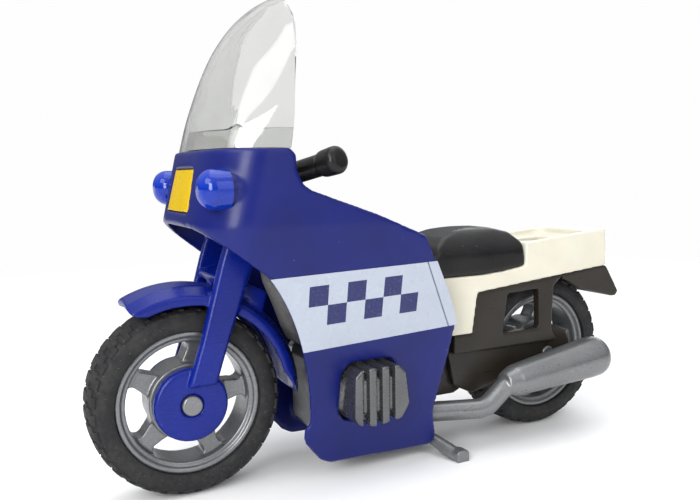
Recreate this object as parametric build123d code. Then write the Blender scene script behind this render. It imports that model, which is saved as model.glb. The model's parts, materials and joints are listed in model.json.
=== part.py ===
from build123d import *
import os
from math import asin, atan, atan2, cos, degrees, radians, sin

# Toy police motorcycle. Millimetres. While it is being modelled, Y runs back from the
# front axle, X to the bike's left and Z up, with the tyres' tops at a set height, so larger
# wheels reach further down. The last lines move every piece so that the origin is on the
# ground, under the middle of the bike's box.

# ---------------------------------------------------------------- driving dimensions
wheelbase = 87.3
wheel_r = 19.0            # over the tread
tyre_top = 38.0           # height of the tyres' tops, just under the tail
tyre_w = 10.8
tyre_wall = 4.75          # radial thickness, tread to rim
tyre_shoulder = 2.4
rim_lip = 1.0             # radial width of the bright outer step
rim_band = 2.1            # radial width of the whole rim band
rim_w = 9.2
rim_step = 0.7
hub_r = 7.7
hub_w = 7.6
spoke_count = 5
spoke_w = 2.6               # narrowest, at the rim
spoke_foot = 4.6            # at the hub
spoke_turn = 6.0            # first spoke, up from straight back
window_round = 1.2
spoke_t = 4.4
axle_r = 1.6
axle_head_r = 2.0
axle_head_t = 1.1
axle_proud = 0.4

rake = degrees(atan(0.339))   # steering axis, back from upright
trail_offset = 0.7            # steering axis behind the front axle, at axle height
stem_r = 1.5
head_r = 4.2
head_len = 5.6
crown_t = 2.6
crown_z = 50.6                # middle of the crown along the steering axis
grip_r = 2.1
grip_sweep = 0.45             # back per mm outward
grip_rise = 0.235            # up per mm outward
bar_half = 22.0
knob_r = 2.7
knob_len = 4.4

leg_t = 2.2                   # fork leg, across the bike
leg_w_low = 5.7
leg_w_high = 7.0
leg_round = 1.0
leg_end = 3.8                 # leg's lower end above the axle
disc_r = 7.28
disc_t = 2.4
fender_gap = 4.4              # tyre's tread to the fender's top
fender_t = 1.1

fairing_top = 67.4
fairing_crease = 53.6
fairing_bottom = 3.0
nose_half = 20.5
nose_front = -0.3
nose_lean = 0.243         # back per mm up
nose_round = 10.5         # from the nose's front back to where the sides run straight
sill_half = 10.9
fairing_wall = 1.2
label_t = 0.15
headlight_h = 8.0
headlight_top_half = 6.5
headlight_low_half = 7.6
headlight_mid_z = 60.0
headlight_flange = 0.8
beacon_r = 3.6
beacon_x = 17.0
beacon_z = 60.3
beacon_front = 0.1
beacon_wall = 0.8
beacon_len = 5.4
beacon_round = 2.9
beacon_boss_at = 3.4          # from the beacon's front to the boss that it fits on
beacon_peg_r = 1.4
beacon_peg_at = 2.2

screen_wall = 1.0
screen_spigot = 1.6
screen_band = 3.8

engine_half = 8.0
engine_gap = 2.2              # fender to the engine behind it
engine_top = 27.0
engine_low = 6.2
engine_rear = 46.0
cylinder_out = 19.5
cylinder_low = 17.4
fin_in = 10.5
frame_half = 4.0
downtube_half = 6.4
gearbox_half = 6.0
lug_half = 3.2
boss_r = 2.0
deck_z = 38.3             # top of the frame, under the tail
tail_half = 9.6
tail_start = -22.4        # where the tail's lower edge leaves the apron
tail_start_z = 35.8
tail_slope = 0.0933
tail_end = 16.2
tail_top_end = 48.5
apron_low = 26.6
apron_rear = -23.7
tail_wall = 1.4
side_plate_in = 7.4
arm_gap = 0.7                 # tyre to the arm beside it
arm_t = 1.5
mudguard_half = 9.3
mudguard_wall = 1.3
pocket_l = 10.0
pocket_w = 8.4
pocket_mid = 1.7
dish_front = -7.1
dish_rear = 10.9
dish_rim = 1.5
dish_round = 3.0
dish_slope = 0.04

exhaust_gap = 0.2             # arm beside the wheel to the can
pipe_r = 2.3
can_r_front = 3.7
can_r_rear = 4.9
can_l = 27.8
can_slope = 0.115

stand_pivot = (52.0, 4.9)
stand_foot = (56.3, 15.2)     # back, out
stand_pin_r = 0.9
stand_ring_wall = 0.8
stand_leg_r = 1.2
stand_leg_set = 0.6           # leg's top behind and under the pin, clear of the fairing
stand_leg_r_low = 1.7
stand_foot_h = 2.6
stand_bar_reach = 2.9         # cross bar's distance from the pin
stand_bar_r = 0.75

# ---------------------------------------------------------------- fits
running = 0.05                # radial, on every turning pin
side_gap = 0.35               # along an axle, each side of what turns
body_gap = 0.3                # between pieces of different bodies
window_gap = 0.45             # round each cylinder in its window
lens_gap = 0.12

rear_end = 21.0               # the mudguard's lower edge
rim_r = wheel_r - tyre_wall
axle_z = tyre_top - wheel_r
ground_z = axle_z - wheel_r
rear_axle = (wheelbase, axle_z)
arm_in = tyre_w / 2 + arm_gap
arm_out = arm_in + arm_t
exhaust_x = arm_out + exhaust_gap + can_r_rear
spine_rear = wheelbase - 21.3
front_axle = (0.0, axle_z)
steer = Vector(0, sin(radians(rake)), cos(radians(rake)))


# ---------------------------------------------------------------- helpers
def plate(points, half):
    """A side outline, given as (back, up), spread both ways from the centre plane."""
    return extrude(Plane.YZ * make_face(Polyline(*points, close=True)), amount=half, both=True)


def from_rear(*points):
    """Outline points given back from the rear axle, as points back from the front axle."""
    return [(wheelbase + back, up) for back, up in points]


def side_plate(points, x_in, x_out):
    """A side outline between two distances to the left of the centre plane."""
    return Pos(x_in, 0, 0) * extrude(Plane.YZ * make_face(Polyline(*points, close=True)), amount=x_out - x_in)


def rod(centre, radius, x_in, x_out):
    """A round bar across the bike."""
    return Pos((x_in + x_out) / 2, *centre) * Rot(0, 90, 0) * Cylinder(radius, x_out - x_in)


def right_of(piece):
    """The same piece on the bike's right."""
    return mirror(piece, about=Plane.YZ)


def steer_y(z):
    """Where the steering axis is, at height z."""
    return trail_offset + (z - axle_z) * steer.Y / steer.Z


def on_steer(radius, z_low, z_high):
    """A round bar along the steering axis between two heights."""
    length = (z_high - z_low) / steer.Z
    middle = (z_low + z_high) / 2
    return Plane((0, steer_y(middle), middle), x_dir=(1, 0, 0), z_dir=steer) * Cylinder(radius, length)


def bar_between(a, b, ra, rb):
    """A tapered round bar between two points."""
    a, b = Vector(*a), Vector(*b)
    ends = [Plane(a, z_dir=b - a), Plane(b, z_dir=b - a)]
    return loft([ends[0] * Circle(ra), ends[1] * Circle(rb)])


# ---------------------------------------------------------------- wheels
def tyre(centre):
    """A fat tyre with round shoulders."""
    half = tyre_w / 2
    section = make_face(Polyline((-half, rim_r), (half, rim_r), (half, wheel_r), (-half, wheel_r),
                                 close=True))
    section = fillet(section.vertices().sort_by(Axis.Y)[-2:], tyre_shoulder)
    ring = revolve(section, axis=Axis.X)
    return Pos(0, *centre) * ring


def rim_window(outer, inner):
    """One rounded opening between two spokes, facing along the axle."""
    half = 180 / spoke_count
    wide = half - degrees(asin(spoke_w / 2 / outer))
    narrow = half - degrees(asin(spoke_foot / 2 / inner))
    corners = [(outer, wide), (outer, -wide), (inner, -narrow), (inner, narrow)]
    a, b, c, d = [(r * cos(radians(t)), r * sin(radians(t))) for r, t in corners]
    outline = ThreePointArc(a, (outer, 0), b) + Line(b, c) + ThreePointArc(c, (inner, 0), d) + Line(d, a)
    face = make_face(outline)
    return fillet(face.vertices(), window_round)


def rim(centre):
    """A stepped rim band joined by waisted spokes to a round hub, bored for its axle."""
    half = rim_w / 2
    inner = rim_r - rim_band
    band_points = [(-half, rim_r), (half, rim_r), (half, rim_r - rim_lip),
                   (half - rim_step, rim_r - rim_lip - 0.2), (half - rim_step, inner),
                   (-half + rim_step, inner), (-half + rim_step, rim_r - rim_lip - 0.2),
                   (-half, rim_r - rim_lip)]
    wheel = revolve(make_face(Polyline(*band_points, close=True)), axis=Axis.X)
    web = Rot(0, 90, 0) * Cylinder((inner + rim_r) / 2, spoke_t)
    window = extrude(Plane.YZ * rim_window(inner, hub_r), amount=spoke_t, both=True)
    for k in range(spoke_count):
        web -= Rot(spoke_turn + (k + 0.5) * 360 / spoke_count, 0, 0) * window
    wheel += web + Rot(0, 90, 0) * Cylinder(hub_r, hub_w)
    wheel -= Rot(0, 90, 0) * Cylinder(axle_r + running, 2 * hub_w)
    return Pos(0, *centre) * wheel


def axle(centre, half, head_radius):
    """A plain pin with a shallow domed head at each end."""
    pin = rod(centre, axle_r, -half + 0.5, half - 0.5)
    for side in (-1, 1):
        head = Rot(0, 90, 0) * Cylinder(head_radius, axle_head_t)
        head = Pos(side * (half - axle_head_t / 2), *centre) * head
        pin += fillet(head.edges().filter_by(GeomType.CIRCLE).sort_by(Axis.X)[-1 if side > 0 else 0], 0.4)
    return pin


# ---------------------------------------------------------------- fork, fender and bars
disc_in = hub_w / 2 + side_gap
disc_out = disc_in + disc_t
leg_in = tyre_w / 2 + side_gap + 0.1
leg_out = leg_in + leg_t
fender_r = wheel_r + fender_gap
engine_front = fender_r + engine_gap
front_axle_half = disc_out + axle_proud


def fork_leg():
    """The left leg: a blade along the steering axis that ends on the round hub disc."""
    low, high = axle_z + leg_end, crown_z + crown_t / 2
    blade = [(steer_y(low) - leg_w_low / 2, low), (steer_y(low) + leg_w_low / 2, low),
             (steer_y(32) + leg_w_low / 2, 32), (steer_y(46) + leg_w_high / 2, 46),
             (steer_y(high) + leg_w_high / 2, high), (steer_y(high) - leg_w_high / 2, high),
             (steer_y(46) - leg_w_high / 2, 46), (steer_y(32) - leg_w_low / 2, 32)]
    leg = side_plate(blade, leg_in, leg_out)
    outer = leg.faces().sort_by(Axis.X)[-1]
    leg = fillet(outer.edges(), leg_round)
    disc = rod(front_axle, disc_r, disc_in, disc_out)
    disc = fillet(disc.edges().filter_by(GeomType.CIRCLE).sort_by(Axis.X)[-1], 0.8)
    foot = [(steer_y(low) - leg_w_low / 2, low), (steer_y(low) + leg_w_low / 2, low),
            (steer_y(26.5) + leg_w_low / 2, 26.5), (steer_y(26.5) - leg_w_low / 2, 26.5)]
    root = side_plate(foot, disc_out - 1.0, leg_in + 0.6)
    return leg + disc + root


def fender():
    """An arched guard over the tyre, from a round front tip to low behind the wheel."""
    out = leg_in + fender_t
    low = wheel_r + 0.5
    outline = [(-out, low), (-out, fender_r - 2.0), (-out * 0.6, fender_r - 0.4), (0, fender_r),
               (out * 0.6, fender_r - 0.4), (out, fender_r - 2.0), (out, low),
               (leg_in, low), (leg_in, fender_r - 2.3), (leg_in * 0.6, fender_r - 0.3 - fender_t),
               (0, fender_r + 0.1 - fender_t), (-leg_in * 0.6, fender_r - 0.3 - fender_t),
               (-leg_in, fender_r - 2.3), (-leg_in, low)]
    arch = revolve(make_face(Polyline(*outline, close=True)), axis=Axis.X)
    beyond = fender_r + 2.6
    tip = [(-10.9, wheel_r + 0.6), (-10.7, wheel_r + 1.6), (-9.9, wheel_r + 2.9), (-8.0, wheel_r + 5),
           (-6, beyond), (beyond, beyond), (beyond, 0.5), (fender_r + 2.0, -0.9), (fender_r + 0.8, -1.6),
           (fender_r - 0.8, -1.2), (fender_r - 1.9, 0.5), (wheel_r + 0.3, 4), (0, 4), (0, wheel_r - 0.4),
           (-3.5, wheel_r - 0.3), (-7.4, wheel_r - 1.0), (-9.3, wheel_r - 0.8), (-10.4, wheel_r - 0.3)]
    shaped = arch & plate(tip, out + 1)
    return Pos(0, *front_axle) * shaped


def front_fork():
    """Both legs, hub discs, the bridges, the crown and the fender: one moulding."""
    left = fork_leg()
    fork = left + right_of(left) + fender()
    fork += plate([(6.2, 41.9), (5.8, 43.6), (11.2, 44.6), (12.6, 41.8)], leg_in + 0.4)
    fork += plate([(9.0, 37.0), (9.5, 42.5), (12.0, 41.8), (16.6, 39.6), (15.6, 35.6), (12.0, 39.0)], 5.0)
    crown = Plane((0, steer_y(crown_z), crown_z), x_dir=(1, 0, 0), z_dir=steer) * Box(
        2 * leg_out, leg_w_high, crown_t)
    fork += crown
    fork -= on_steer(stem_r, crown_z - 4, crown_z + 4)
    fork -= rod(front_axle, axle_r, -leg_out - 1, leg_out + 1)
    recess = rod(front_axle, axle_head_r + 0.3, front_axle_half - axle_head_t, leg_out + 1)
    return fork - recess - right_of(recess)


def steering_stem():
    """The pin that ties the fork's crown to the handlebar through the frame's head."""
    return on_steer(stem_r, crown_z - 1.2, bar_z() + 2.0)


def bar_z():
    """Height of the handlebar's hub on the steering axis."""
    head_top = crown_z + crown_t / 2 + body_gap + head_len
    return head_top + body_gap + 2.6


def handlebar():
    """A hub on the stem with a swept grip and a domed knob each side."""
    z0 = bar_z()
    hub = on_steer(3.6, z0 - 2.4, z0 + 2.4)
    y0 = steer_y(z0) + 0.9
    direction = Vector(1, grip_sweep, grip_rise)

    def at(x):
        return Vector(0, y0, z0 - 0.4) + direction * x

    grip = bar_between(at(0.5), at(bar_half - knob_len + 0.5), grip_r, grip_r)
    knob = bar_between(at(bar_half - knob_len), at(bar_half - 0.3), knob_r - 0.2, knob_r)
    knob = fillet(knob.edges().filter_by(GeomType.CIRCLE).sort_by(Axis.X)[-1], 1.3)
    left = grip + knob
    return hub + left + right_of(left) - on_steer(stem_r, z0 - 3, z0 + 2.0)


# ---------------------------------------------------------------- fairing
def nose_y(z):
    """How far back the middle of the nose is, at height z."""
    return nose_front + nose_lean * max(z - fairing_crease, 0)


def half_at(z):
    """Half the fairing's width at height z."""
    if z >= fairing_crease:
        return nose_half
    return sill_half + (nose_half - sill_half) * (z - fairing_bottom) / (fairing_crease - fairing_bottom)


def fairing_section(z, inset, back):
    """The left half of a round-nosed outline at height z, set in by a wall."""
    half = half_at(z)
    apex = nose_y(z)
    turn = (0.79 * half - 0.75 * inset, apex + 2.7 + 0.75 * inset)
    nose = Spline((0, apex + inset), turn, (half - inset, apex + nose_round), tangents=((1, 0), (0, 1)))
    rest = Polyline((half - inset, apex + nose_round), (half - inset, back), (0, back), (0, apex + inset))
    return Pos(0, 0, z) * make_face(nose + rest)


def fairing_body(inset, back, top=fairing_top, bottom=fairing_bottom - 1.0):
    """The fairing as a full body: an upright nose above the crease, leaning sides below it."""
    upper = loft([fairing_section(z, inset, back) for z in (fairing_crease, top)], ruled=True)
    lower = loft([fairing_section(z, inset, back) for z in (bottom, fairing_crease)], ruled=True)
    left = upper + lower
    return left + right_of(left)


panel_front = [(12.1, 44.2), (16.5, 37.0), (19.6, 28.5), (21.2, 21.0), (21.9, 13.0)]
panel_rear = [(45.6, 49.3), (47.8, 45.1), (50.3, 40.5), (54.5, 31.2), (53.7, 24.8), (51.3, 11.6), (52.6, 5.6)]


def fairing_outline():
    """The fairing's side view, from the nose round the back edge, sill and wheel opening."""
    upper = Polyline((-2.0, 54.2), (-2.0, fairing_top), (16.2, fairing_top), (17.4, 66.2), (17.5, 63.4),
                     (18.6, 61.0), (20.2, 59.9), (33.5, 55.2), (44.6, 50.6), panel_rear[0])
    rear = Spline(*panel_rear[:4])
    low_rear = Polyline(*panel_rear[3:], (52.4, 4.0), (51.2, fairing_bottom), (27.0, fairing_bottom + 0.6),
                        (24.6, 4.8), (21.3, 8.8), (20.7, 10.6), (21.0, 12.4), panel_front[-1])
    front = Spline(*reversed(panel_front))
    chin = Polyline(panel_front[0], (0.4, 53.4), (-2.0, 54.2))
    return Plane.YZ * make_face(upper + rear + low_rear + front + chin)


def headlight_prism(grow):
    """The headlight's outline, run back through the nose."""
    low, high = headlight_mid_z - headlight_h / 2 - grow, headlight_mid_z + headlight_h / 2 + grow
    outline = Polyline((-headlight_low_half - grow, low), (headlight_low_half + grow, low),
                       (headlight_top_half + grow, high), (-headlight_top_half - grow, high), close=True)
    return Pos(0, 12, 0) * extrude(Plane.XZ * make_face(outline), amount=20)


def cylinder_outline(grow):
    """The side outline of a cylinder head, or of its window when grown."""
    points = [(28.6, 15.2), (29.6, 13.6), (33.5, 12.9), (39.2, 13.8), (41.0, 16.6), (40.2, 23.4),
              (38.6, 25.0), (30.4, 25.0), (28.8, 23.4)]
    face = make_face(Polyline(*points, close=True))
    return Plane.YZ * (offset(face, grow) if grow else face)


def beacon_rod(radius, start, end):
    """A round bar along the left beacon's axis, measured back from the beacon's front."""
    middle = beacon_front + (start + end) / 2
    return Pos(beacon_x, middle, beacon_z) * Rot(90, 0, 0) * Cylinder(radius, end - start)


def fairing_shell():
    """The one-piece fairing: nose, shoulders and both side panels, open below and behind."""
    solid = fairing_body(0, 60) - fairing_body(fairing_wall, 70, fairing_top + 1)
    shell = solid & extrude(fairing_outline(), amount=nose_half + 2, both=True)
    shell -= headlight_prism(0)
    shell -= extrude(cylinder_outline(window_gap), amount=nose_half + 2, both=True)
    core = fairing_body(fairing_wall * 0.5, 70)
    boss = beacon_rod(beacon_r - beacon_wall - lens_gap, beacon_boss_at, 12.0) - core
    boss += beacon_rod(beacon_peg_r, beacon_peg_at, 12.0) - core
    shell += boss + right_of(boss)
    for back, up, root in ((28.0, 41.0, downtube_half), (engine_front + 4.0, 9.2, engine_half)):
        boss = rod((back, up), boss_r, root, half_at(up) - fairing_wall * 0.5)
        shell += boss + right_of(boss)
    return shell


def label():
    """A thin stuck-on band along the left side panel."""
    band = plate([(11.0, 44.0), (56.0, 45.3), (56.0, 31.0), (12.0, 28.6)], nose_half + 2)
    skin = fairing_body(-label_t, 60) - fairing_body(0, 60)
    outline = extrude(fairing_outline(), amount=nose_half + 2)
    return skin & band & outline & Pos(20, 40, 40) * Box(30, 60, 40)


def headlight_lens():
    """The yellow lens, flush in the nose, held by a flange behind the wall."""
    plug = headlight_prism(-lens_gap) & (fairing_body(0.1, 60) - fairing_body(fairing_wall, 60))
    flange = headlight_prism(0.9) & (fairing_body(fairing_wall, 60)
                                     - fairing_body(fairing_wall + headlight_flange, 60))
    half_space = Pos(0, 0, headlight_mid_z) * Box(30, 30, 20)
    return (plug + flange) & half_space


def domed_front(rod_piece, radius):
    """The bar with its front edge rounded off."""
    return fillet(rod_piece.edges().filter_by(GeomType.CIRCLE).sort_by(Axis.Y)[0], radius)


def beacon():
    """The left blue beacon: a hollow domed cap over the boss on the nose."""
    cap = domed_front(beacon_rod(beacon_r, 0, beacon_len), beacon_round)
    hollow = domed_front(beacon_rod(beacon_r - beacon_wall, beacon_wall, beacon_len + 1),
                         beacon_round - beacon_wall)
    return cap - hollow - fairing_body(0, 60)


# ---------------------------------------------------------------- windscreen
# height, nose of the curve, corner (out, back), edge (out, back)
screen_rows = [(fairing_top, nose_y(fairing_top), (15.6, 6.1), (20.5, 14.1)),
               (73.0, 4.3, (15.4, 8.2), (20.2, 16.2)),
               (80.0, 6.7, (13.8, 11.4), (19.0, 17.0)),
               (86.0, 9.6, (12.0, 14.0), (17.7, 17.8)),
               (91.0, 13.3, (10.0, 16.4), (15.2, 18.4)),
               (94.6, 17.4, (6.0, 18.6), (9.6, 19.8)),
               (96.4, 20.8, (2.4, 21.1), (4.2, 21.4))]


def screen_body(inset, back):
    """The windscreen as a full body through its level outlines."""
    faces = []
    for z, apex, (cx, cy), (ex, ey) in screen_rows:
        z_at = z if z == fairing_top else z - inset * 0.6
        c, e = cx - 0.75 * inset, ex - inset
        curve = Spline((0, apex + inset), (c, cy + 0.75 * inset), (e, ey), tangents=((1, 0), (0.15, 1)))
        rest = Polyline((e, ey), (e, back), (0, back), (0, apex + inset))
        faces.append(Pos(0, 0, z_at) * make_face(curve + rest))
    left = loft(faces)
    return left + right_of(left)


def screen_edge():
    """The windscreen's side view: everything ahead of its rear edge."""
    return [(-5, fairing_top + 0.02), (16.4, fairing_top + 0.02), (16.7, 68.6), (17.2, 73.0), (18.0, 80.0),
            (18.7, 86.0), (19.1, 90.5), (20.2, 93.4), (21.6, 95.3), (23.0, 96.5), (23.0, 99), (-5, 99)]


def windscreen():
    """A clear wrapped screen with a thick foot that plugs into the top of the nose."""
    skin = (screen_body(0, 40) - screen_body(screen_wall, 50)) & plate(screen_edge(), 25)
    foot = screen_body(0.05, 40) - screen_body(screen_wall * 2.2, 50)
    foot &= plate([(-5, fairing_top + 0.02), (16.6, fairing_top + 0.02), (16.6, fairing_top + screen_band),
                   (-5, fairing_top + screen_band)], 25)
    top = fairing_top + 1
    spigot = fairing_body(fairing_wall + lens_gap, 15.5, top) - fairing_body(fairing_wall + 1.1, 50, top)
    spigot &= Pos(0, 5, fairing_top - screen_spigot / 2 + 0.25) * Box(60, 21, screen_spigot + 0.5)
    return skin + foot + spigot


# ---------------------------------------------------------------- frame, engine and tail
def chassis_frame():
    """The dark spine: steering head, neck, front downtube, backbone and gearbox."""
    head_low = crown_z + crown_t / 2 + body_gap
    head_top = head_low + head_len
    head = on_steer(head_r, head_low, head_top)
    neck = plate([(steer_y(head_low) + 2.5, head_low + 0.2), (steer_y(head_top) + 2.5, head_top - 1.6),
                  (steer_y(head_top) + 6.0, head_top - 2.8), (34.0, 46.5), (50.0, 39.6), (50.0, deck_z),
                  (spine_rear, deck_z), (spine_rear, 33.0), (engine_rear, 33.0), (28.0, 33.0), (18.2, 47.0),
                  (17.2, 50.0)],
                 frame_half)
    front = plate([(18.2, 47.0), (19.6, 40.0), (21.6, 35.0), (23.4, 30.0), (24.8, engine_top),
                   (34.0, engine_top), (34.0, 44.0), (26.0, 47.0)], downtube_half)
    gearbox = plate([(engine_rear, 12.2), (engine_rear, 36.0), (spine_rear, 36.0), (spine_rear, 14.4),
                     (spine_rear - 5, 12.2)],
                    gearbox_half)
    y, z = stand_pivot
    lug_r = stand_pin_r + stand_ring_wall
    lug = plate([(y - lug_r, z), (y - 3.4, 13.0), (y + 4.0, 13.0), (y + lug_r, z)], lug_half)
    lug += rod(stand_pivot, lug_r, -lug_half, lug_half)
    frame = head + neck + front + gearbox + lug
    frame -= on_steer(stem_r + running, head_low - 3, head_top + 3)
    frame -= rod(stand_pivot, stand_pin_r, -9, 9)
    frame -= rod(rear_axle, wheel_r + 1.2, -gearbox_half - 1, gearbox_half + 1)
    return frame


def engine_block():
    """The grey crankcase, with a barrel front, in front of the gearbox."""
    case = plate([(engine_front, 10.0), (engine_front, 24.0), (engine_front + 3.0, engine_top),
                  (engine_rear, engine_top), (engine_rear, 7.6), (44.8, engine_low),
                  (engine_front + 3.4, engine_low)], engine_half)
    fronts = case.edges().filter_by(Axis.Z).sort_by(Axis.Y)[:2]
    case = fillet(fronts, 3.0)
    for side in (-1, 1):
        case -= Pos(side * pipe_start[0], pipe_start[1] + 2, pipe_start[2]) * Rot(90, 0, 0) * Cylinder(
            pipe_r, 4.0)
    return case


pipe_start = (engine_half - 2.4, engine_rear - 2.6, 9.2)


def cylinder():
    """The left boxer cylinder: a body through the side panel, with four tall fins and low ribs."""
    low = extrude(cylinder_outline(-0.9), amount=cylinder_low)
    tall = extrude(cylinder_outline(0), amount=cylinder_out)
    fins = Part()
    for front, rear in ((28.4, 30.5), (31.8, 33.5), (34.7, 36.4), (37.6, 41.2)):
        fins += tall & Pos(fin_in, (front + rear) / 2, 19) * Box(
            cylinder_out, rear - front, 16, align=(Align.MIN, Align.CENTER, Align.CENTER))
    ribs = Part()
    for middle in (31.15, 34.1, 37.0):
        ribs += side_plate([(middle - 0.45, 15.6), (middle + 0.45, 15.6), (middle + 0.45, 22.4),
                            (middle - 0.45, 22.4)], cylinder_low - 1, cylinder_low + 0.9)
    body = low + fins + ribs
    return body - Box(2 * engine_half, 200, 200)


def exhaust():
    """The left pipe: from the crankcase out and back, up a bend, into a flared round-ended can."""
    knee = (exhaust_x - 0.5, wheelbase - 22.0, 9.6)
    can_start = (exhaust_x, wheelbase - 14.6, 15.1)
    along = (0, 1, can_slope)
    path = FilletPolyline(pipe_start, (pipe_start[0], 49.6, pipe_start[2]), knee,
                          (exhaust_x, wheelbase - 16.9, 14.2),
                          (exhaust_x, wheelbase - 12.3, 15.1 + 2.3 * can_slope), radius=5)
    pipe = sweep(Plane(path @ 0, z_dir=path % 0) * Circle(pipe_r), path=path)
    outline = Polyline((-2.6, 0), (-2.6, pipe_r + 0.3), (0.4, can_r_front), (can_l - 5.6, can_r_rear),
                       (can_l, can_r_rear), (can_l, 0), close=True)
    can = revolve(Plane(origin=can_start, x_dir=along, z_dir=(1, 0, 0)) * make_face(outline),
                  Axis(can_start, along))
    can = fillet(can.edges().filter_by(GeomType.CIRCLE).sort_by(Axis.Y)[-1], 3.6)
    return pipe + can


def tail_low(back):
    """Height of the tail's lower edge, back from the rear axle."""
    return tail_start_z + tail_slope * (back - tail_start)


def side_frame():
    """The left rear frame: posts, window, ledge and the arm that carries the axle."""
    upper = side_plate(from_rear((-28.7, 22.4), (-28.7, apron_low), (apron_rear, apron_low),
                                 (tail_start, tail_low(tail_start)), (2.7, tail_low(2.7)), (-0.3, 35.6),
                                 (-0.5, 25.0), (1.3, 22.4)), side_plate_in, tail_half)
    window = side_plate(from_rear((-15.1, 25.6), (-13.9, 34.8), (-4.9, 35.2), (-4.5, 26.0)),
                        side_plate_in - 1, tail_half + 1)
    arm = side_plate(from_rear((-29.3, 23.2), (-27.3, 14.5), (-22.3, 12.0), (-17.3, 13.0), (-9.3, 16.6),
                               (-3.3, 17.0),
                      (-1.3, 14.9), (2.3, 15.0), (5.9, 17.0), (7.1, 21.0), (5.7, 23.8), (2.3, 25.4),
                      (-1.3, 25.0), (-7.3, 24.0)), arm_in, arm_out)
    bridge = side_plate(from_rear((-28.7, 22.4), (-28.7, 25.0), (-16.3, 25.0), (-16.3, 22.4)),
                        arm_out - 0.4, side_plate_in + 0.4)
    frame = upper - window + arm + bridge
    return frame - rod(rear_axle, axle_r, 0, 20)


def rear_mudguard():
    """The dark guard under the tail that flares out behind the wheel."""
    outline = from_rear((2.7, tail_low(2.7) - 1.2), (2.7, tail_low(2.7)), (tail_end, tail_low(tail_end)),
                        (16.9, 38.9),
               (rear_end, 32.6), (20.3, 31.5), (19.0, 31.4), (8.1, 34.2), (4.3, 36.4))
    inner = from_rear((0.7, 37.0), (6.7, 37.2), (15.1, 37.8), (19.1, 30.4), (7.7, 30.0), (0.7, 33.0))
    guard = plate(outline, mudguard_half) - plate(inner, mudguard_half - mudguard_wall)
    return guard - rod(rear_axle, wheel_r + 1.0, -tyre_w / 2 - 1.0, tyre_w / 2 + 1.0)


seat_line = from_rear((-35.3, deck_z + tail_wall), (-21.3, deck_z + tail_wall), (-15.3, 40.1), (-8.9, 41.0))
tail_side = from_rear((-34.7, apron_low), (-36.3, 33.0)) + seat_line + from_rear(
    (-8.9, 46.3), (-1.3, 47.1), (15.7, tail_top_end), (tail_end, tail_low(tail_end)),
    (tail_start, tail_low(tail_start)), (apron_rear, apron_low))


def tail_body():
    """The cream tail: apron, seat base and dished top box in one moulding, hollow from below."""
    solid = plate(tail_side, tail_half)
    hollow = from_rear((-37.3, 25.0), (-38.3, deck_z), (-21.3, deck_z), (-15.3, 38.7), (-7.5, 39.6),
                       (-7.3, 41.6), (14.3, 42.0), (14.7, 36.0), (-21.3, 20.0))
    tail = solid - plate(hollow, tail_half - tail_wall)
    mouth = RectangleRounded(2 * (tail_half - dish_rim), dish_rear - dish_front, dish_round)
    dish = extrude(Pos(0, wheelbase + (dish_front + dish_rear) / 2, 45.7) * mouth, amount=6)
    front = (0, wheelbase + dish_front, 45.7)
    tail -= dish.rotate(Axis(front, (1, 0, 0)), degrees(atan(dish_slope)))
    return tail - Pos(0, wheelbase + pocket_mid, deck_z + 6) * Box(pocket_w, pocket_l, 12)


def seat():
    """The black saddle: domed across, level in the middle and round in front."""
    outline = seat_line[:1] + from_rear((-34.1, 43.6), (-32.5, 46.4), (-29.9, 48.4), (-26.3, 49.6),
                                        (-21.3, 50.1), (-15.3, 49.9), (-11.3, 48.8), (-9.2, 46.4))
    outline += seat_line[3:0:-1]
    half = tail_half - 0.2
    dome = Spline((half, 43.8), (half - 1.0, 46.6), (0.6 * half, 49.2), (0, 50.1), tangents=((0, 1), (-1, 0)))
    section = make_face(dome + Polyline((0, 50.1), (0, deck_z), (half, deck_z), (half, 43.8)))
    left = plate(outline, half) & Pos(0, wheelbase, 0) * extrude(Plane.XZ * section, amount=50)
    return left + right_of(left)


# ---------------------------------------------------------------- stand
def centre_stand():
    """Two splayed legs with flat feet, rings on the stand pin and a bar that ties them."""
    y, z = stand_pivot
    ring_out = gearbox_half + 1.6
    foot_y, foot_x = stand_foot
    leg_top = (ring_out - 1.0, y + stand_leg_set, z - stand_leg_set)
    leg_low = (foot_x - 0.6, foot_y - 0.3, ground_z + 0.9)
    leg = bar_between(leg_top, leg_low, stand_leg_r, stand_leg_r_low)
    foot = Pos(foot_x, foot_y, ground_z + stand_foot_h / 2) * Box(3.0, 3.2, stand_foot_h)
    foot = fillet(foot.edges().filter_by(Axis.X).sort_by(Axis.Z)[-2:], 0.8)
    ring = rod(stand_pivot, stand_pin_r + stand_ring_wall, lug_half + side_gap, ring_out)
    fall = atan2(z - leg_low[2], leg_low[1] - y)
    bar_at = (y + stand_bar_reach * cos(fall), z - stand_bar_reach * sin(fall))
    web = side_plate([(y + 0.4, z), (y + 1.4, z + 0.6), (bar_at[0] + 0.6, bar_at[1] + 0.5),
                      (bar_at[0] - 0.5, bar_at[1] - 0.6)], ring_out - 3.2, ring_out)
    left = ring + leg + foot + web
    stand = left + right_of(left) + rod(bar_at, stand_bar_r, -ring_out, ring_out)
    stand -= rod(stand_pivot, stand_pin_r + running, -20, 20)
    return stand - Pos(0, 0, ground_z - 5) * Box(300, 300, 10)


def stand_pin():
    """The pin the stand folds on."""
    return rod(stand_pivot, stand_pin_r, -gearbox_half - 1.9, gearbox_half + 1.9)


# ---------------------------------------------------------------- assembly
left_cylinder = cylinder()
left_exhaust = exhaust()
left_frame = side_frame()
left_label = label()
left_beacon = beacon()

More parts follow.
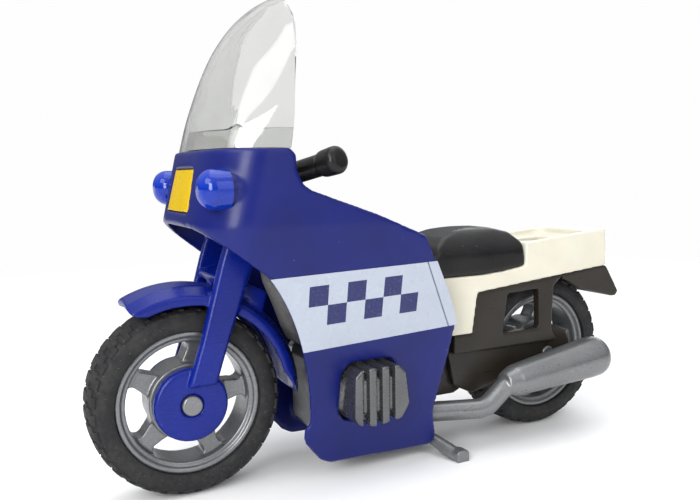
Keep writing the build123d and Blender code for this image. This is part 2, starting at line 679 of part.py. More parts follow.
pieces = {
    "chassis_frame": chassis_frame(),
    "side_frame_left": left_frame,
    "side_frame_right": right_of(left_frame),
    "rear_mudguard": rear_mudguard(),
    "engine_block": engine_block(),
    "cylinder_left": left_cylinder,
    "cylinder_right": right_of(left_cylinder),
    "exhaust_left": left_exhaust,
    "exhaust_right": right_of(left_exhaust),
    "fairing_shell": fairing_shell(),
    "windscreen": windscreen(),
    "headlight_lens": headlight_lens(),
    "beacon_left": left_beacon,
    "beacon_right": right_of(left_beacon),
    "label_left": left_label,
    "label_right": right_of(left_label),
    "tail_body": tail_body(),
    "seat": seat(),
    "front_fork": front_fork(),
    "handlebar": handlebar(),
    "steering_stem": steering_stem(),
    "front_tyre": tyre(front_axle),
    "front_rim": rim(front_axle),
    "front_axle": axle(front_axle, front_axle_half, axle_head_r),
    "rear_tyre": tyre(rear_axle),
    "rear_rim": rim(rear_axle),
    "rear_axle": axle(rear_axle, arm_out + axle_proud, axle_r),
    "centre_stand": centre_stand(),
    "stand_pin": stand_pin(),
}

to_origin = Pos(0, (wheel_r - wheelbase - rear_end) / 2, -ground_z)

os.makedirs("parts", exist_ok=True)
for name, piece in pieces.items():
    export_step(to_origin * piece, "parts/" + name + ".step")
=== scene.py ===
"""Looks for a small moulded toy police motorcycle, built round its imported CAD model."""

import json
import logging
import math
from dataclasses import dataclass, field
from enum import Enum

import bmesh
import bpy
from mathutils import Matrix, Vector


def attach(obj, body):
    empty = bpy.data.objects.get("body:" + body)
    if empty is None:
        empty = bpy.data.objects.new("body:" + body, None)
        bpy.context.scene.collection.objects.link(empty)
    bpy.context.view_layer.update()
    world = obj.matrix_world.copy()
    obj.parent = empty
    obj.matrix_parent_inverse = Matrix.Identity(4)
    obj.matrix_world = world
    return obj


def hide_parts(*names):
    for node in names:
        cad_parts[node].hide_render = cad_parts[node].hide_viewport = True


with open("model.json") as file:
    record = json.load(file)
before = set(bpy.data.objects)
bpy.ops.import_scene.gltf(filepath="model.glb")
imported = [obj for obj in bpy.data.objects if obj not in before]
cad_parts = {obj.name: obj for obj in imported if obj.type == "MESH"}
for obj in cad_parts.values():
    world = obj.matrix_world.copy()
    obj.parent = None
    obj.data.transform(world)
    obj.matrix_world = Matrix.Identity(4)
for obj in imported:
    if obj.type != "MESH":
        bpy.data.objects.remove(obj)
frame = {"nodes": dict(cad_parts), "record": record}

log = logging.getLogger("toy_motorcycle")

Colour = tuple[float, float, float]
Point = tuple[float, float]

MM = 0.001
FRONT_AXLE_BACK = -44.65  # where the front axle lies along Y, in mm
WHEELBASE = 87.3  # from the front axle to the rear, in mm


def place(x: float, back: float, up: float) -> Vector:
    """Turns a position in millimetres, measured back from the front axle, into the frame's metres.

    Args:
        x: Towards the bike's left.
        back: Behind the front axle.
        up: Above the ground.

    Returns:
        The same position in the frame.
    """
    return Vector((x, back + FRONT_AXLE_BACK, up)) * MM


# ---------------------------------------------------------------- material graphs
class Graph:
    """Adds and joins nodes in one material's tree."""

    def __init__(self, name: str) -> None:
        """Starts a material with its shader and object coordinates ready."""
        self.material = bpy.data.materials.new(name)
        self.material.use_nodes = True
        self.tree = self.material.node_tree
        self.shader = self.tree.nodes["Principled BSDF"]
        self.coords = self.add("ShaderNodeTexCoord").outputs["Object"]

    def add(self, kind: str, **inputs: object) -> bpy.types.Node:
        """Adds a node and fills its inputs.

        Args:
            kind: The node's Blender type name.
            **inputs: Socket names, with _ for a space, to a value or an output socket.

        Returns:
            The new node.
        """
        node = self.tree.nodes.new(kind)
        for name, value in inputs.items():
            self.feed(node.inputs[name.replace("_", " ")], value)
        return node

    def feed(self, socket: bpy.types.NodeSocket, value: object) -> None:
        """Sets a socket to a value, or links an output to it."""
        if isinstance(value, bpy.types.NodeSocket):
            self.tree.links.new(value, socket)
        else:
            socket.default_value = value

    def stretched(self, scale: Point | Colour, turn: Colour = (0, 0, 0)) -> bpy.types.NodeSocket:
        """Object coordinates, scaled per axis and turned."""
        return self.add("ShaderNodeMapping", Vector=self.coords, Scale=scale, Rotation=turn).outputs[0]

    def noise(self, size_mm: float, detail: float = 2.0, rough: float = 0.5,
              vector: bpy.types.NodeSocket | None = None) -> bpy.types.NodeSocket:
        """Smooth noise whose lumps are about size_mm across."""
        node = self.add("ShaderNodeTexNoise", Vector=vector or self.coords, Scale=1 / (size_mm * MM),
                        Detail=detail, Roughness=rough)
        return node.outputs["Fac"]

    def specks(self, size_mm: float, share: float) -> bpy.types.NodeSocket:
        """Sparse round specks: 1 on a speck and 0 elsewhere.

        Args:
            size_mm: Distance between cells.
            share: How much of a cell its speck fills.

        Returns:
            The mask.
        """
        cells = self.add("ShaderNodeTexVoronoi", Vector=self.coords, Scale=1 / (size_mm * MM))
        near = self.remap(cells.outputs["Distance"], share, share * 0.6, 0.0, 1.0)
        chosen = self.add("ShaderNodeSeparateColor", Color=cells.outputs["Color"]).outputs[0]
        return self.math("MULTIPLY", near, self.remap(chosen, 0.62, 0.7, 0.0, 1.0))

    def remap(self, value: bpy.types.NodeSocket, low: float, high: float, to_low: float,
              to_high: float) -> bpy.types.NodeSocket:
        """Maps low..high onto to_low..to_high, clamped."""
        node = self.add("ShaderNodeMapRange", Value=value)
        for name, number in (("From Min", low), ("From Max", high), ("To Min", to_low), ("To Max", to_high)):
            node.inputs[name].default_value = number
        return node.outputs["Result"]

    def math(self, kind: str, a: object, b: object = 0.0) -> bpy.types.NodeSocket:
        """One arithmetic step."""
        node = self.tree.nodes.new("ShaderNodeMath")
        node.operation = kind
        self.feed(node.inputs[0], a)
        self.feed(node.inputs[1], b)
        return node.outputs[0]

    def mix(self, mask: object, a: object, b: object) -> bpy.types.NodeSocket:
        """Mixes two colours by a mask."""
        node = self.tree.nodes.new("ShaderNodeMix")
        node.data_type = "RGBA"
        self.feed(node.inputs[0], mask)
        for socket, value in ((node.inputs[6], a), (node.inputs[7], b)):
            self.feed(socket, (*value, 1.0) if isinstance(value, tuple) else value)
        return node.outputs[2]

    def bump(self, height: bpy.types.NodeSocket, depth_mm: float,
             under: bpy.types.NodeSocket | None = None) -> bpy.types.NodeSocket:
        """Bumps the surface by a height field.

        Args:
            height: 0 to 1.
            depth_mm: How tall 1 is.
            under: The normal to start from.

        Returns:
            The bumped normal.
        """
        node = self.add("ShaderNodeBump", Height=height, Distance=depth_mm * MM, Strength=1.0)
        if under is not None:
            self.feed(node.inputs["Normal"], under)
        return node.outputs[0]

    def dress(self, **sockets: object) -> bpy.types.Material:
        """Fills the shader's sockets and returns the material."""
        for name, value in sockets.items():
            socket = self.shader.inputs[name.replace("_", " ")]
            if isinstance(value, tuple) and len(value) == 3:
                value = (*value, 1.0)
            self.feed(socket, value)
        return self.material


# ---------------------------------------------------------------- finishes
@dataclass(frozen=True)
class MouldedPlastic:
    """Opaque moulded plastic with slight flow marks, fine grain and a little dust.

    Attributes:
        name: The material's name.
        colour: Its colour where it is clean and thick.
        shade: Its colour in the flow marks.
        rough: Roughness, lowest and highest.
        grain_mm: Size of the surface's fine grain.
        grain_depth: Depth of that grain in millimetres.
        wave_depth: Depth of the slow waves left by cooling, in millimetres.
        fleck: How strongly fine metallic flakes show.
        glow: Share of light that scatters inside.
        metal: Share of the surface that the metallic flakes cover.
        shine: Strength of the plastic's own reflection.
        dusty: How strongly its specks of dust show.
    """

    name: str
    colour: Colour
    shade: Colour
    rough: Point
    grain_mm: float = 0.35
    grain_depth: float = 0.006
    wave_depth: float = 0.03
    fleck: float = 0.0
    glow: float = 0.0
    metal: float = 0.0
    shine: float = 0.3
    dusty: float = 0.12

    def build(self) -> bpy.types.Material:
        """Builds the node material."""
        g = Graph(self.name)
        flow = g.remap(g.noise(11.0, 3.0), 0.35, 0.7, 0.0, 1.0)
        colour = g.mix(flow, self.colour, self.shade)
        if self.fleck:
            flakes = g.add("ShaderNodeTexVoronoi", Vector=g.coords, Scale=1 / (0.16 * MM)).outputs["Color"]
            light = g.add("ShaderNodeSeparateColor", Color=flakes).outputs[0]
            bright = tuple(min(1.0, c * (1 + self.fleck)) for c in self.colour)
            colour = g.mix(g.remap(light, 0.55, 1.0, 0.0, 1.0), colour, bright)
        dust = g.specks(2.2, 0.07)
        colour = g.mix(g.math("MULTIPLY", dust, self.dusty), colour, (0.6, 0.59, 0.56))
        scuffs = g.noise(2.4, 4.0, 0.6, g.stretched((1.0, 0.35, 1.6), (0.4, 0.2, 0.0)))
        rough = g.remap(scuffs, 0.3, 0.72, *self.rough)
        grain = g.bump(g.noise(self.grain_mm, 2.0), self.grain_depth)
        normal = g.bump(g.noise(9.0, 1.0), self.wave_depth, grain)
        return g.dress(Base_Color=colour, Roughness=rough, Normal=normal, Metallic=self.metal,
                       Subsurface_Weight=self.glow, Subsurface_Scale=0.6 * MM, Specular_IOR_Level=self.shine)


@dataclass(frozen=True)
class ClearPlastic:
    """Clear or tinted see-through plastic.

    Attributes:
        name: The material's name.
        tint: Colour of light that passes.
        clear: Share of light that passes.
        rough: Roughness, lowest and highest.
        wave_depth: Depth of the slow waves in its skin, in millimetres.
    """

    name: str
    tint: Colour
    clear: float
    rough: Point
    wave_depth: float = 0.03

    def build(self) -> bpy.types.Material:
        """Builds the node material."""
        g = Graph(self.name)
        haze = g.noise(6.0, 3.0)
        darker = tuple(c * 0.9 for c in self.tint)
        normal = g.bump(g.noise(5.0, 1.0), self.wave_depth)
        return g.dress(Base_Color=g.mix(haze, self.tint, darker), Roughness=g.remap(haze, 0.3, 0.7, *self.rough),
                       Normal=normal, Transmission_Weight=self.clear, IOR=1.47)


@dataclass(frozen=True)
class TyreRubber:
    """Matte black rubber with fine dust in its grain.

    Attributes:
        name: The material's name.
        colour: The clean rubber.
        dust: The dust's colour.
    """

    name: str
    colour: Colour
    dust: Colour

    def build(self) -> bpy.types.Material:
        """Builds the node material."""
        g = Graph(self.name)
        patches = g.remap(g.noise(4.0, 4.0, 0.65), 0.45, 0.75, 0.0, 0.35)
        colour = g.mix(patches, self.colour, self.dust)
        colour = g.mix(g.math("MULTIPLY", g.specks(0.7, 0.2), 0.22), colour, (0.25, 0.24, 0.22))
        rough = g.remap(g.noise(1.1, 3.0), 0.3, 0.7, 0.62, 0.9)
        grain = g.bump(g.noise(0.45, 4.0, 0.7), 0.05)
        return g.dress(Base_Color=colour, Roughness=rough, Normal=grain, Specular_IOR_Level=0.35)


@dataclass(frozen=True)
class ChequerFilm:
    """Pale printed film with a generic two-row chequer band along its middle and a painted shade line along the
    groove by its rear edge.

    Attributes:
        name: The material's name.
        film: The film's colour.
        ink: The squares' colour.
        square_mm: Side of a square.
        middle: Height of the band's middle at the front axle's line, in millimetres.
        slope: Rise of the band per millimetre back.
        span: Where the band starts and ends, in millimetres behind the front axle.
        groove: A point of the groove by the rear edge, back and up, in millimetres.
        groove_lean: How far the groove runs back per millimetre down.
    """

    name: str
    film: Colour
    ink: Colour
    square_mm: float
    middle: float
    slope: float
    span: Point
    groove: Point = (45.7, 44.8)
    groove_lean: float = 0.478

    def build(self) -> bpy.types.Material:
        """Builds the node material."""
        g = Graph(self.name)
        parts = g.add("ShaderNodeSeparateXYZ", Vector=g.coords).outputs
        back = g.math("MULTIPLY", g.math("SUBTRACT", parts[1], FRONT_AXLE_BACK * MM), 1 / (self.square_mm * MM))
        line = g.math("MULTIPLY", back, self.slope)
        up = g.math("SUBTRACT", g.math("MULTIPLY", parts[2], 1 / (self.square_mm * MM)), line)
        up = g.math("SUBTRACT", up, self.middle / self.square_mm)
        cells = g.math("ADD", g.math("FLOOR", back), g.math("FLOOR", up))
        odd = g.math("ABSOLUTE", g.math("MODULO", cells, 2.0))
        inside = g.math("LESS_THAN", g.math("ABSOLUTE", up), 1.0)
        for end, kind in zip(self.span, ("GREATER_THAN", "LESS_THAN")):
            inside = g.math("MULTIPLY", inside, g.math(kind, back, end / self.square_mm))
        mask = g.math("MULTIPLY", odd, inside)
        worn = g.remap(g.noise(0.5, 4.0, 0.7), 0.3, 0.42, 0.82, 1.0)
        film = g.mix(g.noise(7.0, 3.0), self.film, tuple(c * 0.88 for c in self.film))
        lean = g.math("MULTIPLY", g.math("SUBTRACT", parts[2], self.groove[1] * MM), self.groove_lean)
        start = (self.groove[0] + FRONT_AXLE_BACK) * MM
        past = g.math("ADD", g.math("SUBTRACT", parts[1], start), lean)
        mask = g.math("MULTIPLY", mask, g.math("LESS_THAN", past, -0.7 * MM))
        colour = g.mix(g.math("MULTIPLY", mask, worn), film, self.ink)
        # Painted shade: a thin dark line in the ink's colour along the groove by the rear edge, where shade falls
        # in the crease; the bump below sinks the groove itself.
        line = g.remap(g.math("ABSOLUTE", past), 0.08 * MM, 0.2 * MM, 1.0, 0.0)
        colour = g.mix(g.math("MULTIPLY", line, 0.7), colour, self.ink)
        sunk = g.bump(g.math("SUBTRACT", 1.0, line), 0.12)
        return g.dress(Base_Color=colour, Roughness=g.remap(g.noise(3.0, 3.0), 0.3, 0.7, 0.22, 0.34),
                       Normal=g.bump(g.noise(2.5, 2.0), 0.02, sunk))


@dataclass(frozen=True)
class DrawnSteel:
    """Thin drawn wire with marks along its length."""

    name: str
    colour: Colour

    def build(self) -> bpy.types.Material:
        """Builds the node material."""
        g = Graph(self.name)
        lines = g.noise(0.3, 3.0, 0.6, g.stretched((1.0, 1.0, 0.1)))
        return g.dress(Base_Color=g.mix(lines, self.colour, tuple(c * 0.7 for c in self.colour)), Metallic=1.0,
                       Roughness=g.remap(lines, 0.3, 0.7, 0.28, 0.45), Normal=g.bump(lines, 0.01))


class Slot(Enum):
    """The record's material slots."""

    FRAME = "frame_plastic"
    SILVER = "silver_plastic"
    BLUE = "blue_plastic"
    FORK = "fork_plastic"
    CLEAR = "clear_plastic"
    YELLOW = "yellow_lens"
    BEACON = "blue_lens"
    LABEL = "label_film"
    CREAM = "cream_plastic"
    BLACK = "black_plastic"
    STEEL = "steel_pin"
    RUBBER = "tyre_rubber"


# Finishes of single pieces that differ from their slot's.
# Painted shade: the engine block belongs to the silver slot but is coloured dark grey because it sits in shade
# inside the fairing.
ENGINE_PAINTED_SHADE = MouldedPlastic("engine_grey_painted_shade", (0.045, 0.047, 0.05), (0.06, 0.062, 0.065), (0.3, 0.42), metal=0.3)
GRIP_BLACK = MouldedPlastic("grip_black", (0.005, 0.005, 0.0055), (0.009, 0.009, 0.0095), (0.26, 0.4))
SADDLE_BLACK = MouldedPlastic("saddle_black", (0.004, 0.004, 0.0045), (0.009, 0.009, 0.0095), (0.24, 0.42),
                              grain_mm=1.1, grain_depth=0.03, wave_depth=0.15, shine=0.3)
# Partly painted shade: a darker, glossier and more metallic copy of the slot's silver for the cylinders, darkened
# all over to stand for the shade in the gaps between the fins.
FIN_SILVER_PAINTED_SHADE = MouldedPlastic("fin_silver_painted_shade", (0.15, 0.152, 0.155), (0.11, 0.112, 0.115), (0.2, 0.34), metal=0.8)

FINISHES = {
    Slot.FRAME: MouldedPlastic("frame_brown_black", (0.016, 0.013, 0.010), (0.024, 0.020, 0.016), (0.26, 0.40)),
    Slot.SILVER: MouldedPlastic("silver_grey", (0.20, 0.205, 0.21), (0.165, 0.17, 0.175), (0.26, 0.37), fleck=0.2,
                                metal=0.65),
    Slot.BLUE: MouldedPlastic("royal_blue", (0.004, 0.009, 0.125), (0.003, 0.007, 0.098), (0.29, 0.35)),
    Slot.FORK: MouldedPlastic("fork_blue", (0.0015, 0.011, 0.185), (0.001, 0.008, 0.15), (0.24, 0.32)),
    Slot.CLEAR: ClearPlastic("clear_screen", (0.81, 0.815, 0.80), 1.0, (0.02, 0.07)),
    Slot.YELLOW: MouldedPlastic("headlight_yellow", (0.60, 0.40, 0.0005), (0.56, 0.37, 0.0004), (0.25, 0.34),
                                shine=0.15, dusty=0.0),
    Slot.BEACON: ClearPlastic("beacon_blue", (0.002, 0.055, 0.62), 0.6, (0.03, 0.09)),
    Slot.LABEL: ChequerFilm("label_chequer", (0.41, 0.45, 0.53), (0.006, 0.010, 0.09), 4.0, 37.2, 0.04,
                              (20.0, 44.0)),
    Slot.CREAM: MouldedPlastic("cream", (0.68, 0.65, 0.54), (0.62, 0.59, 0.49), (0.28, 0.40), glow=0.15),
    Slot.BLACK: MouldedPlastic("satin_black", (0.012, 0.012, 0.013), (0.02, 0.02, 0.021), (0.30, 0.48),
                               grain_depth=0.012),
    Slot.STEEL: DrawnSteel("pin_steel", (0.5, 0.5, 0.5)),
    Slot.RUBBER: TyreRubber("tyre_rubber", (0.013, 0.013, 0.014), (0.05, 0.048, 0.045)),
}


class Wardrobe:
    """Builds each finish once and hands it out."""

    def __init__(self) -> None:
        """Starts with nothing built."""
        self.built: dict[Slot, bpy.types.Material] = {}

    def get(self, slot: Slot) -> bpy.types.Material:
        """The material for a slot."""
        if slot not in self.built:
            self.built[slot] = FINISHES[slot].build()
        return self.built[slot]

    def special(self, finish: MouldedPlastic) -> bpy.types.Material:
        """The material for a finish that only some pieces of a slot have."""
        return bpy.data.materials.get(finish.name) or finish.build()


WARDROBE = Wardrobe()


# ---------------------------------------------------------------- making pieces
class Piece:
    """One mesh being made, with the steps that turn it into a finished object."""

    def __init__(self, name: str) -> None:
        """Starts an empty mesh."""
        self.name = name
        self.bm = bmesh.new()

    def close(self, body: str, slot: Slot, nodes: tuple[str, ...], smooth_deg: float = 35.0) -> bpy.types.Object:
        """Cleans the mesh and makes it an object that rides on a body.

        Args:
            body: The CAD body it moves with.
            slot: The material slot it takes its finish from.
            nodes: CAD nodes that it stands for.
            smooth_deg: Faces meeting at less than this are shaded as one.

        Returns:
            The finished object.
        """
        bmesh.ops.remove_doubles(self.bm, verts=self.bm.verts[:], dist=0.002 * MM)
        if all(not edge.is_boundary for edge in self.bm.edges):
            bmesh.ops.recalc_face_normals(self.bm, faces=self.bm.faces[:])
        for edge in self.bm.edges:
            edge.smooth = len(edge.link_faces) == 2 and edge.calc_face_angle(0.0) < math.radians(smooth_deg)
        for face in self.bm.faces:
            face.smooth = True
        mesh = bpy.data.meshes.new(self.name)
        self.bm.to_mesh(mesh)
        self.bm.free()
        mesh.materials.append(WARDROBE.get(slot))
        piece = bpy.data.objects.new(self.name, mesh)
        bpy.context.scene.collection.objects.link(piece)
        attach(piece, body)
        if nodes:
            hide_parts(*nodes)
        log.info("%s: %d faces, rides on %s", self.name, len(mesh.polygons), body)
        return piece


@dataclass
class Tyre:
    """A rubber tyre with staggered blocks on its tread and shoulders.

    Attributes:
        end: Which wheel it belongs to, front or rear.
        axle_back: The axle's place behind the front axle, in millimetres.
        radius: Over the blocks, in millimetres.
        half_width: Half the tyre's width.
        bore: Radius of its seat on the rim.
        groove: Depth between the blocks.
        block_bevel: How much a block narrows towards its top.
        shoulder: How far down from the tread the blocks reach.
        blocks: How many stand round the tyre.
    """

    end: str
    axle_back: float
    radius: float = 19.0
    half_width: float = 5.4
    bore: float = 14.25
    groove: float = 0.38
    block_bevel: float = 0.12
    shoulder: float = 1.6
    blocks: int = 34

    def outline(self) -> list[Point]:
        """Half section of the tyre, as out-from-the-middle and radius."""
        r, w = self.radius - self.groove, self.half_width
        return [(w - 1.0, self.bore), (w - 0.35, self.bore + 0.12), (w - 0.05, self.bore + 0.7),
                (w, self.bore + 1.6), (w - 0.12, self.bore + 2.4), (w - 0.55, r - 1.05), (w - 1.35, r - 0.42),
                (w - 2.6, r - 0.08), (w - 4.0, r)]

    def build(self) -> bpy.types.Object:
        """Spins the section, then raises the blocks."""
        piece = Piece(f"{self.end}_tyre_rubber")
        bm = piece.bm
        half = self.outline()
        section = [(x, r) for x, r in half] + [(-x, r) for x, r in reversed(half)]
        hub = place(0, self.axle_back, self.radius)
        verts = [bm.verts.new(hub + Vector((x, 0, r)) * MM) for x, r in section]
        edges = [bm.edges.new((a, b)) for a, b in zip(verts, verts[1:] + verts[:1])]
        bmesh.ops.spin(bm, geom=verts + edges, cent=hub, axis=(1, 0, 0), angle=math.tau, steps=self.blocks * 3,
                       use_merge=True, use_duplicate=False)
        bmesh.ops.recalc_face_normals(bm, faces=bm.faces[:])
        raised = [f for f in bm.faces if self.is_block(f.calc_center_median() - hub)]
        bmesh.ops.inset_region(bm, faces=raised, thickness=self.block_bevel * MM, depth=self.groove * 0.95 * MM,
                               use_even_offset=True)
        for v in bm.verts:
            out = v.co - hub
            reach = math.hypot(out.y, out.z)
            if reach > self.radius * MM:
                v.co -= Vector((0, out.y, out.z)) * (1 - self.radius * MM / reach)
        return piece.close(f"{self.end}_wheel", Slot.RUBBER, (f"{self.end}_tyre",), 40)

    def is_block(self, out: Vector) -> bool:
        """Whether the face whose middle is out from the hub belongs to a tread block."""
        x, r = abs(out.x) / MM, math.hypot(out.y, out.z) / MM
        step = int((math.atan2(out.z, out.y) % math.tau) / math.tau * self.blocks * 3 + 0.5)
        if r < self.radius - self.shoulder or r < self.bore + 2:
            return False
        shift = (0 if x > self.half_width - 1.7 else 1) + (1 if out.x > 0 else 0)
        return (step + shift) % 3 != 0


@dataclass
class SoftMoulding:
    """A CAD node's own shape with the round edges and corners that a moulding tool leaves.

    Attributes:
        node: The CAD node it stands for.
        body: The body it rides on.
        slot: Its material slot.
        grid_mm: How fine the new skin is.
        passes: How many times the skin is relaxed, which sets how round the edges get.
        finish: A finish of its own, where it differs from its slot's.
    """

    node: str
    body: str
    slot: Slot
    grid_mm: float = 0.3
    passes: int = 5
    finish: MouldedPlastic | None = None

    def build(self) -> bpy.types.Object:
        """Merges a copy of the node, skins it evenly and relaxes the skin."""
        source = bpy.data.meshes.new(self.node)
        bm = bmesh.new()
        bm.from_mesh(frame["nodes"][self.node].data)
        bmesh.ops.remove_doubles(bm, verts=bm.verts[:], dist=0.004 * MM)
        bm.to_mesh(source)
        bm.free()
        blank = bpy.data.objects.new(self.node, source)
        bpy.context.scene.collection.objects.link(blank)
        skin = blank.modifiers.new("skin", "REMESH")
        skin.mode = "VOXEL"
        skin.voxel_size = self.grid_mm * MM
        skin.use_smooth_shade = True
        even = bpy.data.meshes.new_from_object(blank.evaluated_get(bpy.context.evaluated_depsgraph_get()))
        bpy.data.objects.remove(blank)
        piece = Piece(f"{self.node}_moulding")
        piece.bm.from_mesh(even)
        for _ in range(self.passes):
            bmesh.ops.smooth_vert(piece.bm, verts=piece.bm.verts[:], factor=0.5, use_axis_x=True,
                                  use_axis_y=True, use_axis_z=True)
        moulding = piece.close(self.body, self.slot, (self.node,), 60)
        if self.finish:
            moulding.data.materials[0] = WARDROBE.special(self.finish)
        return moulding


@dataclass
class Windscreen:
    """The clear wrapped screen with its thick foot.

    Attributes:
        rows: Level sections from foot to tip: height, front of the curve, corner out and back, edge out and
            back, all in millimetres.
        wall: Its thickness.
        foot_top: Height where the thick foot ends.
    """

    rows: tuple[tuple[float, ...], ...] = (
        (67.45, 3.05, 15.9, 6.0, 20.4, 16.4),
        (73.0, 4.3, 15.4, 8.2, 20.2, 17.2),
        (80.0, 6.7, 13.8, 11.4, 19.0, 18.0),
        (86.0, 9.6, 12.0, 14.0, 17.7, 18.7),
        (91.0, 13.3, 9.8, 16.4, 15.2, 19.2),
        (94.0, 16.6, 6.8, 18.3, 10.8, 20.0),
        (95.7, 19.2, 4.0, 19.9, 6.6, 20.8),
        (96.35, 20.9, 1.5, 21.1, 2.4, 21.4),
    )
    wall: float = 1.0
    foot_top: float = 71.2

    def section(self, level: float) -> list[float]:
        """A row's numbers at a level between 0, the foot, and 1, the tip, eased between its neighbours."""
        last = len(self.rows) - 1
        at = min(max(level, 0.0), 1.0) * last
        i = min(int(at), last - 1)
        t = at - i
        before, a, b, after = (self.rows[min(max(k, 0), last)] for k in (i - 1, i, i + 1, i + 2))
        return [0.5 * (2 * q + (r - p) * t + (2 * p - 5 * q + 4 * r - w) * t * t + (3 * q - p - 3 * r + w) * t ** 3)
                for p, q, r, w in zip(before, a, b, after)]

    def point(self, across: float, level: float) -> Vector:
        """The outer skin's point, from -1 to 1 across and 0 to 1 up."""
        z, front, corner_x, corner_y, edge_x, edge_y = self.section(level)
        s = abs(across)
        if s < 0.6:
            k = s / 0.6
            x, y = corner_x * k, front + (corner_y - front) * k ** 2.2
        else:
            k = (s - 0.6) / 0.4
            pull_x, pull_y = edge_x - 0.25 * (edge_x - corner_x), corner_y + 0.55 * (edge_y - corner_y)
            x = (1 - k) ** 2 * corner_x + 2 * k * (1 - k) * pull_x + k * k * edge_x
            y = (1 - k) ** 2 * corner_y + 2 * k * (1 - k) * pull_y + k * k * edge_y
        return place(math.copysign(x, across), y, z)

    def build(self) -> None:
        """Builds the skin and the thick foot inside it."""
        self.sheet("windscreen_skin", 1.0, 0.0, self.wall, ("windscreen",))
        foot_level = (self.foot_top - self.rows[0][0]) / (self.rows[1][0] - self.rows[0][0]) / (len(self.rows) - 1)
        self.sheet("windscreen_foot", foot_level, self.wall + 0.03, 1.1, ())

    def sheet(self, name: str, top: float, inset: float, thick: float, nodes: tuple[str, ...]) -> None:
        """Makes one curved wall of the screen.

        Args:
            name: The piece's name.
            top: Level where it ends.
            inset: How far in from the outer skin it starts, in millimetres.
            thick: Its thickness in millimetres.
            nodes: CAD nodes it stands for.
        """
        piece = Piece(name)
        bm = piece.bm
        bmesh.ops.create_grid(bm, x_segments=56, y_segments=44, size=1.0)
        for v in bm.verts:
            v.co = self.point(v.co.x, (v.co.y + 1) / 2 * top)
        inner = [v for v in bm.verts if not v.is_boundary]
        for _ in range(3):
            bmesh.ops.smooth_vert(bm, verts=inner, factor=0.5, use_axis_x=True, use_axis_y=True, use_axis_z=True)
        bm.normal_update()
        for v, normal in [(v, v.normal.copy()) for v in bm.verts]:
            v.co -= normal * inset * MM
        screen = piece.close("frame", Slot.CLEAR, nodes, 50)
        wall = screen.modifiers.new("wall", "SOLIDIFY")
        wall.thickness = thick * MM
        wall.offset = -1.0
        wall.use_even_offset = True
        rim = screen.modifiers.new("round_rim", "BEVEL")
        rim.width = 0.3 * MM
        rim.segments = 3
        rim.limit_method = "ANGLE"
        rim.angle_limit = math.radians(50)


# ---------------------------------------------------------------- stage
@dataclass(frozen=True)
class SoftLight:
    """One large area light that faces the model."""

    name: str
    place_mm: Colour
    size_mm: Point
    power: float
    colour: Colour = (1.0, 1.0, 1.0)

    def build(self, target: Vector) -> None:
        """Adds the light, turned to the target."""
        data = bpy.data.lights.new(self.name, "AREA")
        data.shape = "RECTANGLE"
        data.size, data.size_y = (s * MM for s in self.size_mm)
        data.energy = self.power
        data.color = self.colour
        lamp = bpy.data.objects.new(self.name, data)
        lamp.location = Vector(self.place_mm) * MM
        lamp.rotation_euler = (target - lamp.location).to_track_quat("-Z", "Y").to_euler()
        bpy.context.scene.collection.objects.link(lamp)


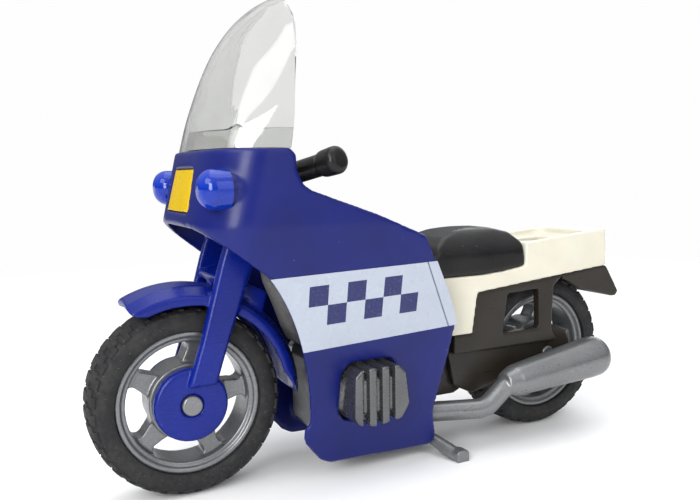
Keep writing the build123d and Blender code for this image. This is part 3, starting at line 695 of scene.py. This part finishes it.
@dataclass
class Stage:
    """Floor, sky, lights and camera."""

    eye_mm: Colour = (143.545, -79.099, 62.614)
    yaw: float = 63.15
    pitch: float = 9.40
    roll: float = -0.956
    focal_px: float = 742.73
    centre_px: Point = (352.633, 296.803)
    low_sky: Colour = (0.10, 0.105, 0.12)
    high_sky: Colour = (1.05, 1.06, 1.08)
    backdrop: float = 0.99
    fade_start: float = 90.0
    fade_end: float = 420.0
    lights: tuple[SoftLight, ...] = field(default_factory=lambda: (
        SoftLight("key_light", (120, -420, 420), (320, 260), 0.9),
        SoftLight("top_light", (-60, 40, 520), (420, 520), 1.0),
        SoftLight("side_light", (480, 120, 260), (260, 420), 0.5),
        SoftLight("rim_light", (-260, 380, 240), (240, 240), 0.4),
        SoftLight("corner_strip", (320, -340, 190), (170, 300), 1.7),
    ))

    def build(self) -> None:
        """Builds everything round the object."""
        self.build_floor()
        self.build_sky()
        for lamp in self.lights:
            lamp.build(Vector((0, 0, 0.04)))
        self.build_camera()
        bpy.context.scene.view_settings.view_transform = "Standard"

    def build_floor(self) -> None:
        """A wide pale disc under the wheels."""
        bm = bmesh.new()
        bmesh.ops.create_circle(bm, cap_ends=True, segments=96, radius=5.0)
        mesh = bpy.data.meshes.new("pale_floor")
        bm.to_mesh(mesh)
        bm.free()
        g = Graph("floor_paper")
        paper = g.mix(g.noise(60.0, 4.0), (0.90, 0.90, 0.90), (0.87, 0.87, 0.87))
        reach = g.add("ShaderNodeVectorMath", Vector=g.coords)
        reach.operation = "LENGTH"
        far = g.remap(reach.outputs["Value"], self.fade_start * MM, self.fade_end * MM, 0.0, 1.0)
        mesh.materials.append(g.dress(Base_Color=g.mix(far, paper, (0.0, 0.0, 0.0)), Roughness=0.9,
                                      Emission_Color=(self.backdrop,) * 3, Emission_Strength=far,
                                      Specular_IOR_Level=0.0, Normal=g.bump(g.noise(0.8, 3.0), 0.02)))
        floor = bpy.data.objects.new("pale_floor", mesh)
        bpy.context.scene.collection.objects.link(floor)

    def build_sky(self) -> None:
        """A surround that is pale to look at, bright overhead and dim at the sides for what it lights."""
        world = bpy.data.worlds.new("surround")
        bpy.context.scene.world = world
        world.use_nodes = True
        nodes, links = world.node_tree.nodes, world.node_tree.links
        seen = nodes.new("ShaderNodeBackground")
        seen.inputs[0].default_value = (self.backdrop, self.backdrop, self.backdrop, 1)
        lit = nodes["Background"]
        height = nodes.new("ShaderNodeSeparateXYZ")
        links.new(nodes.new("ShaderNodeTexCoord").outputs["Generated"], height.inputs[0])
        fade = nodes.new("ShaderNodeValToRGB")
        fade.color_ramp.elements[0].position = 0.05
        fade.color_ramp.elements[0].color = (*self.low_sky, 1)
        fade.color_ramp.elements[1].position = 0.85
        fade.color_ramp.elements[1].color = (*self.high_sky, 1)
        links.new(height.outputs[2], fade.inputs[0])
        links.new(fade.outputs[0], lit.inputs[0])
        pick = nodes.new("ShaderNodeMixShader")
        path = nodes.new("ShaderNodeLightPath")
        through = nodes.new("ShaderNodeMath")
        through.operation = "MAXIMUM"
        links.new(path.outputs["Is Camera Ray"], through.inputs[0])
        links.new(path.outputs["Is Transmission Ray"], through.inputs[1])
        links.new(through.outputs[0], pick.inputs[0])
        links.new(lit.outputs[0], pick.inputs[1])
        links.new(seen.outputs[0], pick.inputs[2])
        links.new(pick.outputs[0], nodes["World Output"].inputs[0])

    def build_camera(self) -> None:
        """The camera, aimed by yaw, pitch and roll."""
        yaw, pitch = math.radians(self.yaw), math.radians(self.pitch)
        forward = Vector((-math.sin(yaw) * math.cos(pitch), math.cos(yaw) * math.cos(pitch), -math.sin(pitch)))
        right = Vector((math.cos(yaw), math.sin(yaw), 0))
        up = right.cross(forward)
        turn = Matrix((right, up, -forward)).transposed() @ Matrix.Rotation(math.radians(self.roll), 3, "Z")
        data = bpy.data.cameras.new("camera")
        data.sensor_width = 36.0
        data.lens = self.focal_px * 36 / 700
        data.shift_x = (350 - self.centre_px[0]) / 700
        data.shift_y = (self.centre_px[1] - 250) / 700
        data.clip_start = 0.005
        camera = bpy.data.objects.new("camera", data)
        camera.matrix_world = Matrix.Translation(Vector(self.eye_mm) * MM) @ turn.to_4x4()
        bpy.context.scene.collection.objects.link(camera)
        bpy.context.scene.camera = camera


# ---------------------------------------------------------------- the whole bike
def dress_nodes() -> None:
    """Gives every CAD node the finish of its slot."""
    slots = {part["node"]: part["material_slot"] for part in frame["record"]["subparts"]}
    for name, node in frame["nodes"].items():
        node.data.materials.clear()
        node.data.materials.append(WARDROBE.get(Slot(slots[name])))


def mouldings() -> list[SoftMoulding]:
    """The CAD nodes that are shown with softened edges."""
    rows = [
        ("chassis_frame", "frame", Slot.FRAME, 0.3, 4),
        ("rear_mudguard", "frame", Slot.FRAME, 0.25, 5),
        # The engine block takes the dark grey painted-shade finish.
        ("engine_block", "frame", Slot.SILVER, 0.3, 5, ENGINE_PAINTED_SHADE),
        ("fairing_shell", "frame", Slot.BLUE, 0.37, 8),
        ("headlight_lens", "frame", Slot.YELLOW, 0.13, 3),
        ("tail_body", "frame", Slot.CREAM, 0.3, 6),
        ("seat", "frame", Slot.BLACK, 0.3, 14, SADDLE_BLACK),
        ("front_fork", "steering", Slot.FORK, 0.25, 6),
        ("handlebar", "steering", Slot.BLACK, 0.2, 14, GRIP_BLACK),
        ("front_rim", "front_wheel", Slot.SILVER, 0.22, 4),
        ("rear_rim", "rear_wheel", Slot.SILVER, 0.22, 4),
        ("centre_stand", "stand", Slot.SILVER, 0.2, 5),
    ]
    for side in ("left", "right"):
        rows += [
            (f"side_frame_{side}", "frame", Slot.FRAME, 0.25, 5),
            # The cylinders take the darker painted-shade silver.
            (f"cylinder_{side}", "frame", Slot.SILVER, 0.18, 18, FIN_SILVER_PAINTED_SHADE),
            (f"exhaust_{side}", "frame", Slot.SILVER, 0.3, 5),
        ]
    return [SoftMoulding(*row) for row in rows]


def main() -> None:
    """Builds the bike and its stage."""
    logging.basicConfig(level=logging.INFO, format="%(name)s: %(message)s")
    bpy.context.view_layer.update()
    dress_nodes()
    for tyre in (Tyre("front", 0.0), Tyre("rear", WHEELBASE)):
        tyre.build()
    Windscreen().build()
    for moulding in mouldings():
        moulding.build()
    Stage().build()


if __name__ == "__main__":
    main()
